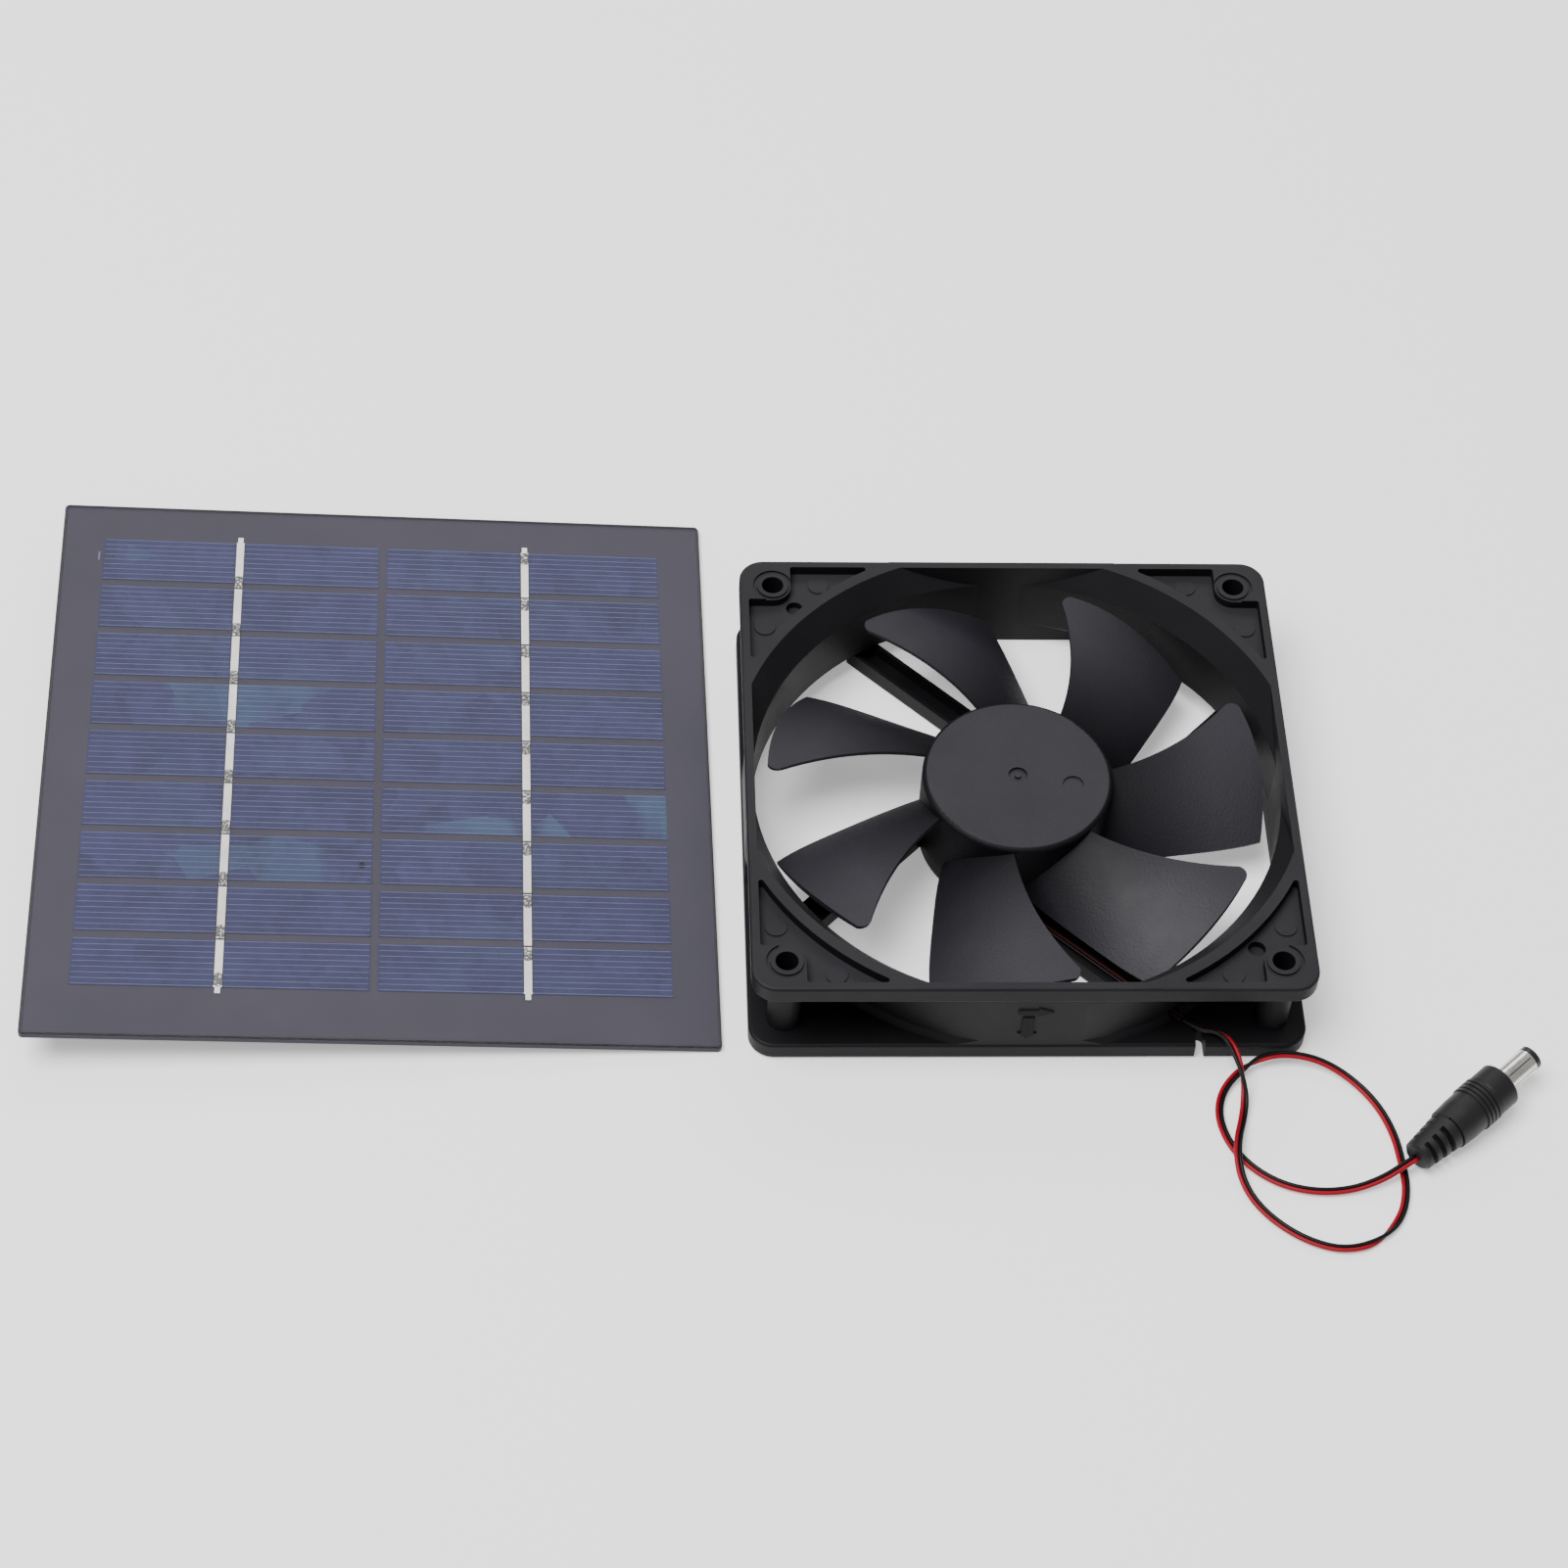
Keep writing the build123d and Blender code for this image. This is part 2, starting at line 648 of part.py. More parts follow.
def plug_body():
    """The moulded grip: slotted strain relief, cone, grip bands and collar."""
    bands = [17.0, 18.1, 19.2, 20.3]
    band_w = 0.7
    groove = 0.3
    cone_r = PLUG_BAND_R - groove
    end = PLUG_BODY
    outline = [(0, 0), (PLUG_REAR_R - 0.6, 0), (PLUG_REAR_R, 0.6)]
    outline += [(4.4, 9.6), (4.7, 9.7), (4.95, 13.5), (cone_r, bands[0])]
    for start in bands:
        outline += [(PLUG_BAND_R, start), (PLUG_BAND_R, start + band_w), (cone_r, start + band_w)]
        if start != bands[-1]:
            outline += [(cone_r, start + band_w + groove)]
    outline += [(PLUG_COLLAR_R, end - 4.8), (PLUG_COLLAR_R, end - 0.4)]
    outline += [(PLUG_COLLAR_R - 0.4, end), (0, end)]
    body = turned(outline)
    roll = Rot(0, 0, -RELIEF_ROLL)
    for side, slots in RELIEF_SLOTS.items():
        near, far = sorted((side * RELIEF_SPINE, side * 8.0))
        for middle, width, core_r in slots:
            slot = block(near, far, -8, 8, middle - width / 2, middle + width / 2)
            body -= roll * (slot - rod(core_r, 0, end))
    return body - rod(CONTACT_R + 0.4, end - 3, end + 1)


def make_plug():
    """The plug on the lead's end, made along Z and then laid in place."""
    place = plug_place()
    front = PLUG_BODY
    tip = front + BARREL_LEN
    save("plug_body", place * plug_body())
    sleeve = tube(BARREL_R, BARREL_BORE, front, tip - TIP_LEN)
    save("plug_sleeve", place * sleeve)
    insulator = tube(BARREL_BORE, CONTACT_R + 0.4, front, tip - TIP_LEN)
    insulator += tube(BARREL_R, CONTACT_R + 0.4, tip - TIP_LEN, tip)
    save("plug_insulator", place * insulator)
    contact = tube(CONTACT_R + 0.4, CONTACT_R, front - 3, tip - 0.6)
    save("plug_contact", place * contact)


# ---------------------------------------------------------------- solar panel
def panel_place():
    """The panel's own frame: X leftward is negative from the right edge, Z up through it."""
    edge = Pos(PANEL_AT[0], PANEL_AT[1], 0) * Rot(0, 0, PANEL_YAW) * Pos(PANEL_W / 2, 0, 0)
    return edge * Rot(0, PANEL_TILT, 0) * Pos(-PANEL_W / 2, 0, 0)


def layer(z0, z1):
    """A full-size layer of the panel."""
    outline = Pos(0, 0, z0) * RectangleRounded(PANEL_W, PANEL_D, PANEL_CORNER)
    return extrude(outline, z1 - z0)


def column_x(column):
    """The middle of a column of cells."""
    return FIELD_AT[0] + (column - (CELL_COLUMNS - 1) / 2) * CELL_PITCH_X


def row_y(row):
    """The middle of a row of cells, the first row at the back."""
    return FIELD_AT[1] + ((CELL_ROWS - 1) / 2 - row) * CELL_PITCH_Y


def cell(column, row):
    """One cell."""
    x, y = column_x(column), row_y(row)
    half_w, half_d = CELL_W / 2, (CELL_PITCH_Y - CELL_GAP_Y) / 2
    return block(x - half_w, x + half_w, y - half_d, y + half_d, BOARD_T, BOARD_T + CELL_T)


def ribbon_x(column):
    """The middle of a column's ribbon, a little outward of the cells' middle."""
    return column_x(column) + (2 * column - 1) * RIBBON_OUT


def ribbon(column):
    """The tinned ribbon down a column: a length for each row, with a narrow joint between."""
    x = ribbon_x(column)
    z0 = BOARD_T + CELL_T
    z1 = z0 + RIBBON_T
    end = (CELL_ROWS * CELL_PITCH_Y - CELL_GAP_Y) / 2 + RIBBON_TAB
    neck = RIBBON_NECK / 2
    strip = block(x - neck, x + neck, FIELD_AT[1] - end, FIELD_AT[1] + end, z0, z1)
    half_w = RIBBON_W / 2
    half_d = (CELL_PITCH_Y - CELL_GAP_Y) / 2
    for row in range(CELL_ROWS):
        y = row_y(row)
        low = y - half_d if row == CELL_ROWS - 1 else row_y(row + 1) + half_d + RIBBON_JOINT
        strip += block(x - half_w, x + half_w, low, y + half_d, z0, z1)
    return strip


def box_left():
    """The junction box's outer face, just inside the panel's left edge."""
    return -PANEL_W / 2 + BOX_INSET


def box_right():
    """The junction box's inner face: its bottom edge there meets the ground."""
    return PANEL_W / 2 - BOX_H / tan(radians(PANEL_TILT))


def back_ribbon(column, sign):
    """A flat ribbon on the panel's back, from a column's end into the junction box."""
    x = ribbon_x(column)
    half = RIBBON_NECK / 2
    end_y = FIELD_AT[1] + sign * ((CELL_ROWS * CELL_PITCH_Y - CELL_GAP_Y) / 2 + RIBBON_TAB)
    turn_x = box_left() + BACK_RIBBON_AT
    z0, z1 = -BACK_RIBBON_T, 0
    y0, y1 = sorted((end_y, end_y - sign * 2 * half))
    across = block(turn_x - half, x + half, y0, y1, z0, z1)
    y0, y1 = sorted((end_y, sign * BOX_D / 2))
    return across + block(turn_x - half, turn_x + half, y0, y1, z0, z1)


def junction_box():
    """The box's shell, glued to the panel's back: plate, walls and the socket's mouth."""
    x0, x1 = box_left(), box_right()
    half = BOX_D / 2
    bottom = -BOX_H + BOX_LID
    shell = block(x0, x1, -half, half, bottom, 0)
    shell = fillet(shell.edges().filter_by(Axis.Z), 1.5)
    w = BOX_WALL
    shell -= block(x0 + w, x1 - w, -half + w, half - w, bottom - 1, -BOX_PLATE)
    shell -= Pos(x0, 0, socket_z()) * Rot(0, 90, 0) * Cylinder(SOCKET_BORE, 4 * w)
    return shell


def socket_z():
    """The height of the socket's axis under the panel."""
    return -(BOX_PLATE + BOX_H - BOX_LID) / 2


def along_socket(r, x0, x1):
    """A cylinder on the socket's axis."""
    return Pos((x0 + x1) / 2, 0, socket_z()) * Rot(0, 90, 0) * Cylinder(r, x1 - x0)


def make_junction():
    """The junction box and what is in it."""
    place = panel_place()
    x0, x1 = box_left(), box_right()
    half = BOX_D / 2
    inner = x0 + BOX_WALL
    save("junction_box", place * junction_box())
    lid = fillet(block(x0, x1, -half, half, -BOX_H, -BOX_H + BOX_LID).edges().filter_by(Axis.Z), 1.5)
    save("junction_lid", place * lid)
    housing = block(inner, inner + SOCKET_L, -SOCKET_W / 2, SOCKET_W / 2, -BOX_H + BOX_LID, -BOX_PLATE)
    housing -= along_socket(SOCKET_BORE, inner - 1, x0 + SOCKET_DEPTH)
    pin_end = inner + SOCKET_L + 1.5
    housing -= along_socket(1.0, inner - 1, inner + SOCKET_L + 1)
    low, high = socket_z() - 0.8, socket_z() + 0.8
    spring = block(x0 + 4.0, x0 + SOCKET_DEPTH, SOCKET_BORE - 0.1, SOCKET_BORE + 0.5, low, high)
    save("socket_spring", place * spring)
    save("dc_socket", place * (housing - spring))
    save("socket_pin", place * along_socket(1.0, x0 + 1.5, pin_end))
    diode = Pos(x0 + 10, -12.0, socket_z()) * Rot(90, 0, 0) * Cylinder(1.35, 5.2)
    save("blocking_diode", place * diode)


def make_panel():
    """The laminate: board, cells, ribbons, clear filler and front film."""
    place = panel_place()
    save("panel_board", place * layer(0, BOARD_T))
    fill = layer(BOARD_T, BOARD_T + FILL_T)
    for column in range(CELL_COLUMNS):
        side = ("left", "right")[column]
        for row in range(CELL_ROWS):
            piece = cell(column, row)
            fill -= piece
            save(f"cell_{side}_{row + 1}", place * piece)
        strip = ribbon(column)
        fill -= strip
        save(f"ribbon_{side}", place * strip)
    save("encapsulant", place * fill)
    save("front_film", place * layer(BOARD_T + FILL_T, BOARD_T + FILL_T + FILM_T))
    pair = [place * back_ribbon(0, 1), place * back_ribbon(1, -1)]
    save("back_ribbons", Compound(children=pair))


save("fan_frame", fan_frame())
make_motor()
make_rotor()
make_leads()
make_plug()
make_panel()
make_junction()
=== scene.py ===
"""The looks of the solar attic fan: camera, floor, light, materials and fine pieces.

Metres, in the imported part's frame: origin on the fan's axis at its exhaust face, +Z up.
"""

import json
from math import cos, pi, radians, sin

import bpy
import numpy as np
from mathutils import Matrix, Vector


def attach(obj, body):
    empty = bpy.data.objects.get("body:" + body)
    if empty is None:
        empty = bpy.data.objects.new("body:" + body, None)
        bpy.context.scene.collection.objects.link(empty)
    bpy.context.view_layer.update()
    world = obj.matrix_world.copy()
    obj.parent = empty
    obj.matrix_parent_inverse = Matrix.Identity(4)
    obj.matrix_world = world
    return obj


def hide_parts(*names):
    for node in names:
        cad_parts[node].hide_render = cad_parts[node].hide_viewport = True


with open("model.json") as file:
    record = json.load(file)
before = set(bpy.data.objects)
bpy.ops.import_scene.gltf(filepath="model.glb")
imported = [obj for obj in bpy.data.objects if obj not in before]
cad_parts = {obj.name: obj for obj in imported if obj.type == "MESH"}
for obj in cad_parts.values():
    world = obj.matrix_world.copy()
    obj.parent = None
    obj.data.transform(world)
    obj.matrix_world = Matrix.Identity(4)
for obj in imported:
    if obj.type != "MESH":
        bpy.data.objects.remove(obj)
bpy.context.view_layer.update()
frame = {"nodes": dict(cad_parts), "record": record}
nodes = frame["nodes"]

MM = 0.001

# ---------------------------------------------------------------- camera
CAMERA_PITCH = 51.345
CAMERA_YAW = -4.784
CAMERA_ROLL = 3.856
CAMERA_AT = (-0.09533, -0.52660, 0.67927)
CAMERA_LENS = 88.56
SENSOR = 36.0


def make_camera():
    """The main view: looking down at the intake side from the front."""
    data = bpy.data.cameras.new("camera")
    data.lens = CAMERA_LENS
    data.sensor_width = SENSOR
    data.clip_start = 0.01
    data.clip_end = 50.0
    camera = bpy.data.objects.new("camera", data)
    bpy.context.scene.collection.objects.link(camera)
    turn = Matrix.Rotation(radians(CAMERA_YAW), 4, "Z")
    turn = turn @ Matrix.Rotation(radians(90 - CAMERA_PITCH), 4, "X")
    turn = turn @ Matrix.Rotation(radians(CAMERA_ROLL), 4, "Z")
    camera.matrix_world = Matrix.Translation(CAMERA_AT) @ turn
    bpy.context.scene.camera = camera


# ---------------------------------------------------------------- floor and light
FLOOR_GLOW = 0.4
FLOOR_TONE = 0.95
FLOOR_HALF = 6.0
FLOOR_Z = -0.0002
SKY_STRENGTH = 0.42
LAMPS_AIM = (-0.05, 0.0, 0.0)
# Where each lamp is, its width and height, and its power in watts.
LAMPS = {
    "lamp_key": ((-0.7, -0.25, 1.8), (1.2, 1.2), 58.0),
    "lamp_back": ((0.2, 1.5, 1.3), (1.6, 0.7), 10.0),
}


def add_area(name, at, size, power):
    """A large soft lamp that points at the middle of the object."""
    data = bpy.data.lights.new(name, "AREA")
    data.shape = "RECTANGLE"
    data.size, data.size_y = size
    data.energy = power
    lamp = bpy.data.objects.new(name, data)
    lamp.location = at
    lamp.rotation_euler = (Vector(LAMPS_AIM) - Vector(at)).to_track_quat("-Z", "Y").to_euler()
    bpy.context.scene.collection.objects.link(lamp)


def make_studio():
    """A pale floor, an even sky and two soft lamps."""
    mesh = bpy.data.meshes.new("floor")
    far, low = FLOOR_HALF, FLOOR_Z
    corners = [(-far, -far, low), (far, -far, low), (far, far, low), (-far, far, low)]
    mesh.from_pydata(corners, [], [(0, 1, 2, 3)])
    floor = bpy.data.objects.new("floor", mesh)
    bpy.context.scene.collection.objects.link(floor)
    mesh.materials.append(plain("floor_paper", (FLOOR_TONE,) * 3, 0.9, FLOOR_GLOW))

    world = bpy.data.worlds.new("studio")
    bpy.context.scene.world = world
    world.use_nodes = True
    sky = world.node_tree.nodes["Background"]
    sky.inputs["Color"].default_value = (1.0, 1.0, 1.0, 1.0)
    sky.inputs["Strength"].default_value = SKY_STRENGTH
    for name, (at, size, power) in LAMPS.items():
        add_area(name, at, size, power)


# ---------------------------------------------------------------- shader helpers
def new_material(name):
    """An empty material: its nodes, its links and its main shader."""
    material = bpy.data.materials.new(name)
    material.use_nodes = True
    tree = material.node_tree
    return material, tree, tree.nodes["Principled BSDF"]


def plain(name, color, roughness, glow):
    """A material with no pattern, for what isn't part of the object."""
    material, _, shader = new_material(name)
    shader.inputs["Base Color"].default_value = (*color, 1.0)
    shader.inputs["Roughness"].default_value = roughness
    shader.inputs["Emission Color"].default_value = (*color, 1.0)
    shader.inputs["Emission Strength"].default_value = glow
    return material


class Pattern:
    """Short ways to add the nodes of a pattern to one material."""

    def __init__(self, tree, stretch=None):
        self.tree = tree
        coords = tree.nodes.new("ShaderNodeTexCoord")
        self.coords = coords.outputs["Object"]
        if stretch is not None:
            mapping = tree.nodes.new("ShaderNodeMapping")
            mapping.inputs["Scale"].default_value = stretch
            tree.links.new(self.coords, mapping.inputs["Vector"])
            self.coords = mapping.outputs["Vector"]

    def join(self, source, target):
        """One link; a number or a colour is set on the socket."""
        if hasattr(source, "is_output"):
            self.tree.links.new(source, target)
        else:
            target.default_value = source

    def noise(self, scale, detail=3.0, roughness=0.55, distortion=0.0):
        """Smooth noise; scale is in waves per metre."""
        node = self.tree.nodes.new("ShaderNodeTexNoise")
        node.inputs["Scale"].default_value = scale
        node.inputs["Detail"].default_value = detail
        node.inputs["Roughness"].default_value = roughness
        node.inputs["Distortion"].default_value = distortion
        self.tree.links.new(self.coords, node.inputs["Vector"])
        return node.outputs["Fac"]

    def grains(self, scale, output="Color", randomness=1.0):
        """Voronoi cells; scale is in cells per metre."""
        node = self.tree.nodes.new("ShaderNodeTexVoronoi")
        node.inputs["Scale"].default_value = scale
        node.inputs["Randomness"].default_value = randomness
        self.tree.links.new(self.coords, node.inputs["Vector"])
        return node.outputs[output]

    def span(self, value, low, high, to_low=0.0, to_high=1.0):
        """A value moved from one range to another, kept inside it."""
        node = self.tree.nodes.new("ShaderNodeMapRange")
        for index, number in enumerate((value, low, high, to_low, to_high)):
            self.join(number, node.inputs[index])
        return node.outputs["Result"]

    def math(self, kind, a, b=0.0):
        """One sum, product or the like."""
        node = self.tree.nodes.new("ShaderNodeMath")
        node.operation = kind
        self.join(a, node.inputs[0])
        self.join(b, node.inputs[1])
        return node.outputs["Value"]

    def mix(self, share, a, b):
        """A colour between two colours."""
        node = self.tree.nodes.new("ShaderNodeMix")
        node.data_type = "RGBA"
        self.join(share, node.inputs[0])
        self.join(a if hasattr(a, "is_output") else (*a, 1.0), node.inputs[6])
        self.join(b if hasattr(b, "is_output") else (*b, 1.0), node.inputs[7])
        return node.outputs[2]

    def split(self, color, index):
        """One channel of a colour."""
        node = self.tree.nodes.new("ShaderNodeSeparateColor")
        self.join(color, node.inputs[0])
        return node.outputs[index]

    def split_axis(self, axis):
        """One of the object's own coordinates."""
        split = self.tree.nodes.new("ShaderNodeSeparateXYZ")
        self.join(self.coords, split.inputs[0])
        return split.outputs[axis]

    def radius(self):
        """The distance from the object's own Z axis."""
        x = self.math("POWER", self.split_axis("X"), 2.0)
        y = self.math("POWER", self.split_axis("Y"), 2.0)
        return self.math("SQRT", self.math("ADD", x, y))

    def upward(self, low=0.5, high=0.95):
        """1 on faces that point up, 0 on upright ones."""
        place = self.tree.nodes.new("ShaderNodeNewGeometry")
        split = self.tree.nodes.new("ShaderNodeSeparateXYZ")
        self.join(place.outputs["Normal"], split.inputs[0])
        return self.span(split.outputs["Z"], low, high)

    def bump(self, height, depth, strength=1.0):
        """A surface height in metres, as a normal."""
        node = self.tree.nodes.new("ShaderNodeBump")
        node.inputs["Strength"].default_value = strength
        node.inputs["Distance"].default_value = depth
        self.join(height, node.inputs["Height"])
        return node.outputs["Normal"]


# ---------------------------------------------------------------- materials
SPREAD = 0.12
# Painted shade beside a rotor's hub: full out to the first radius, gone at the second, in metres.
ROOT_SHADE_FROM_R = 0.021
ROOT_SHADE_TO_R = 0.044
# Painted light on faces that point up: it begins at the first height and is full at the second, in
# metres.
TOP_LIGHT_FROM_Z = 0.010
TOP_LIGHT_TO_Z = 0.016


def moulded(name, color, roughness, grain=2600.0, depth=0.00003, gloss=0.4, top_light=None, root_shade=None):
    """Moulded plastic: a fine even grain, and faint clouds in its colour and roughness.

    Grain is in waves per metre and depth in metres. Top light is painted light: the paler colour
    that high faces pointing up have instead, as if lit from above. Root shade is painted shade: the
    share of colour and gloss that is left beside a rotor's hub, and it grows to the whole towards
    the blades' tips.
    """
    material, tree, shader = new_material(name)
    make = Pattern(tree)
    clouds = make.noise(45.0, 4.0)
    fine = make.noise(grain, 2.0, 0.6)
    dark = tuple(c * (1 - SPREAD) for c in color)
    pale = tuple(c * (1 + SPREAD) for c in color)
    tone = make.mix(make.span(clouds, 0.35, 0.65), dark, pale)
    rough = make.span(make.noise(160.0, 4.0), 0.3, 0.7, roughness - 0.02, roughness + 0.03)
    if root_shade:
        # Painted shade: colour and gloss are darkened beside the hub, but not on faces that point
        # up.
        outward = make.span(make.radius(), ROOT_SHADE_FROM_R, ROOT_SHADE_TO_R, root_shade, 1.0)
        share = make.math("MAXIMUM", outward, make.upward(0.93, 0.99))
        tone = make.mix(share, (0.0, 0.0, 0.0), tone)
        make.join(make.math("MULTIPLY", share, gloss), shader.inputs["Specular IOR Level"])
    else:
        shader.inputs["Specular IOR Level"].default_value = gloss
    # Painted light: high faces that point up are painted paler, as if lit from above.
    if top_light:
        high = make.span(make.split_axis("Z"), TOP_LIGHT_FROM_Z, TOP_LIGHT_TO_Z)
        share = make.math("MULTIPLY", make.upward(), high)
        share = make.math("MULTIPLY", share, make.span(clouds, 0.3, 0.6, 0.75, 1.0))
        tone = make.mix(share, tone, top_light)
    make.join(tone, shader.inputs["Base Color"])
    make.join(rough, shader.inputs["Roughness"])
    make.join(make.bump(fine, depth), shader.inputs["Normal"])
    return material


def metal(name, color, roughness, scratch=900.0, stretch=(1.0, 1.0, 1.0), depth=0.000006):
    """Bare or plated metal with fine marks in its gloss."""
    material, tree, shader = new_material(name)
    make = Pattern(tree, stretch)
    marks = make.noise(scratch, 4.0, 0.6)
    stain = make.noise(120.0, 4.0)
    dull = tuple(c * 0.8 for c in color)
    rough = make.span(marks, 0.3, 0.7, roughness - 0.06, roughness + 0.12)
    make.join(make.mix(make.span(stain, 0.35, 0.7), color, dull), shader.inputs["Base Color"])
    make.join(rough, shader.inputs["Roughness"])
    shader.inputs["Metallic"].default_value = 1.0
    make.join(make.bump(marks, depth), shader.inputs["Normal"])
    return material


def solder(name):
    """Lumpy solder: bright tin with dull dark pits."""
    material, tree, shader = new_material(name)
    make = Pattern(tree)
    pits = make.span(make.noise(2000.0, 2.0, 0.6), 0.42, 0.52)
    make.join(make.mix(pits, (0.80, 0.78, 0.75), (0.13, 0.13, 0.13)), shader.inputs["Base Color"])
    make.join(make.span(pits, 0.0, 1.0, 0.30, 0.65), shader.inputs["Roughness"])
    shader.inputs["Metallic"].default_value = 0.8
    make.join(make.bump(pits, 0.0002), shader.inputs["Normal"])
    return material


GRAIN_DARK = (0.012, 0.0125, 0.050)
GRAIN_PALE = (0.024, 0.025, 0.086)
TEAL = (0.030, 0.056, 0.112)
BLOTCH = (0.008, 0.009, 0.026)


def silicon(name, teal, blotch):
    """A polycrystalline cell: angular blue grains, with shares of teal and dark stains."""
    material, tree, shader = new_material(name)
    make = Pattern(tree)
    large = make.grains(150.0)
    small = make.grains(420.0)
    most = make.math("MULTIPLY", make.split(large, 0), 0.6)
    rest = make.math("MULTIPLY", make.split(small, 1), 0.4)
    tone = make.mix(make.math("ADD", most, rest), GRAIN_DARK, GRAIN_PALE)
    stain = make.span(make.split(make.grains(95.0), 1), 0.66, 0.74)
    stain = make.math("MULTIPLY", stain, make.span(make.noise(38.0, 3.0, 0.5, 0.6), 0.42, 0.54))
    tone = make.mix(make.math("MULTIPLY", stain, teal), tone, TEAL)
    dim = make.span(make.noise(70.0, 4.0), 0.58, 0.72)
    tone = make.mix(make.math("MULTIPLY", dim, blotch), tone, BLOTCH)
    make.join(tone, shader.inputs["Base Color"])
    make.join(make.span(make.split(large, 2), 0.0, 1.0, 0.34, 0.50), shader.inputs["Roughness"])
    shader.inputs["Specular IOR Level"].default_value = 0.15
    return material


def clear(name, color, alpha, roughness):
    """Clear film or resin over something else."""
    material, tree, shader = new_material(name)
    make = Pattern(tree)
    rough = make.span(make.noise(60.0, 4.0), 0.3, 0.7, roughness - 0.04, roughness + 0.05)
    make.join(rough, shader.inputs["Roughness"])
    shader.inputs["Base Color"].default_value = (*color, 1.0)
    shader.inputs["Alpha"].default_value = alpha
    shader.inputs["Specular IOR Level"].default_value = 0.3
    return material


def weave(name, color, roughness):
    """Glass-cloth laminate under solder mask, its weave just showing."""
    material, tree, shader = new_material(name)
    make = Pattern(tree)
    threads = make.grains(900.0, "Distance", 0.15)
    clouds = make.noise(30.0, 3.0)
    pale = tuple(c * 1.25 for c in color)
    rough = make.span(clouds, 0.3, 0.7, roughness - 0.04, roughness + 0.06)
    make.join(make.mix(make.span(clouds, 0.35, 0.65), color, pale), shader.inputs["Base Color"])
    make.join(rough, shader.inputs["Roughness"])
    shader.inputs["Specular IOR Level"].default_value = 0.2
    make.join(make.bump(threads, 0.000002, 0.5), shader.inputs["Normal"])
    return material


NICKEL = (0.78, 0.75, 0.71)
HOUSING = (0.0070, 0.0068, 0.0080)
# The paler colour painted on the housing's high faces that point up: painted light.
HOUSING_TOP_LIGHT = (0.022, 0.0212, 0.0245)
IMPELLER = (0.0130, 0.0122, 0.0175)


